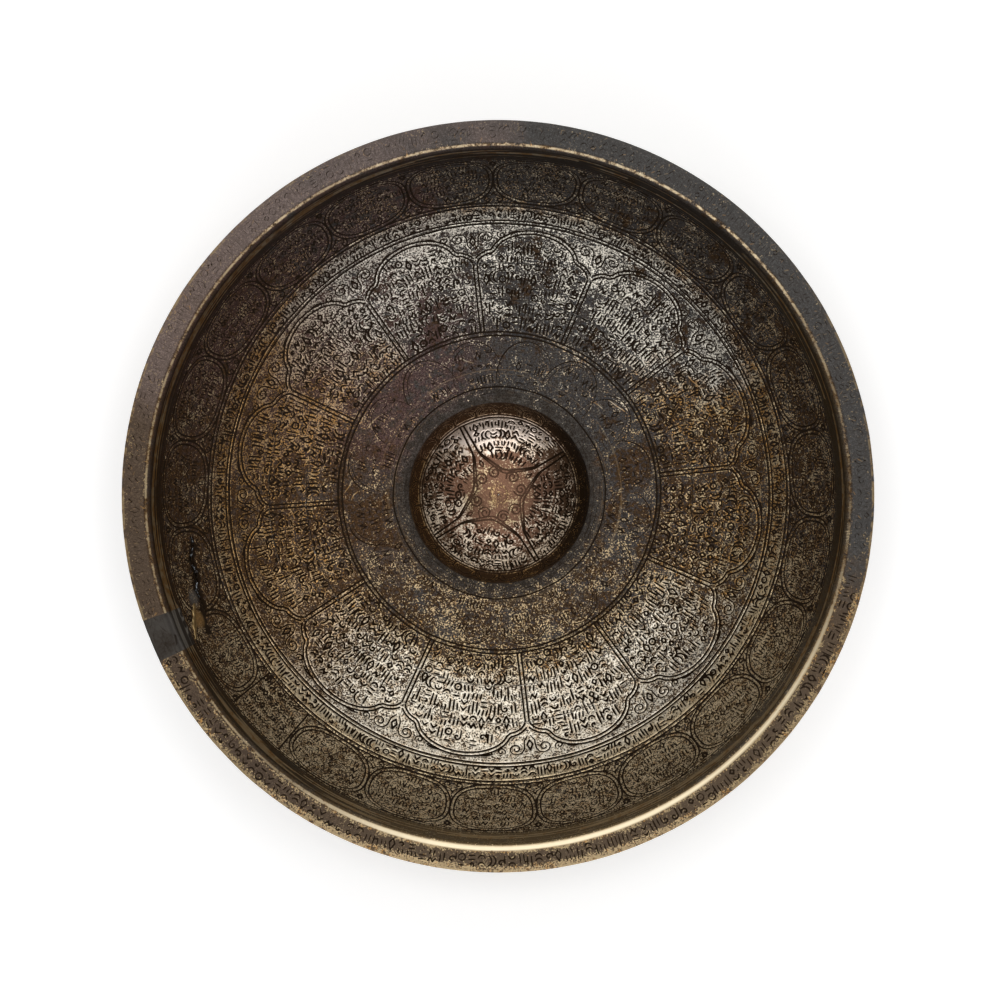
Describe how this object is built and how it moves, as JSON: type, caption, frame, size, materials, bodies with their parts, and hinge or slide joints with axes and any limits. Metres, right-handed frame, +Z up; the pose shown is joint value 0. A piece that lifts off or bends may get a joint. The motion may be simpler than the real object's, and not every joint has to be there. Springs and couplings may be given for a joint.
{
  "type": "magic bowl",
  "caption": "Shallow engraved brass bowl with a flat everted rim, a steep wall, a central domed boss and an old soldered repair.",
  "frame": {"origin": "centre of the flat base, on the surface that the bowl stands on", "axes": "+Z up out of the bowl along its axis; the repair lies at 203 degrees from +X, anticlockwise seen from above"},
  "size_m": [0.2, 0.2, 0.04],
  "materials": {
    "engraved_brass": "dark patina, worn bright on the lip and high spots, engraved",
    "boss_brass": "coppery brown patina, polished by handling, engraved",
    "grey_solder": "dull grey soft solder",
    "insert_metal": "plain dark grey, unengraved",
    "golden_braze": "smooth golden brown brazing metal"
  },
  "bodies": {
    "root": {"bowl_body": "engraved_brass", "central_boss": "boss_brass", "boss_solder_ring": "grey_solder", "boss_pin": "boss_brass", "rim_insert": "insert_metal", "crack_solder": "grey_solder", "braze_fill": "golden_braze"}
  },
  "joints": []
}
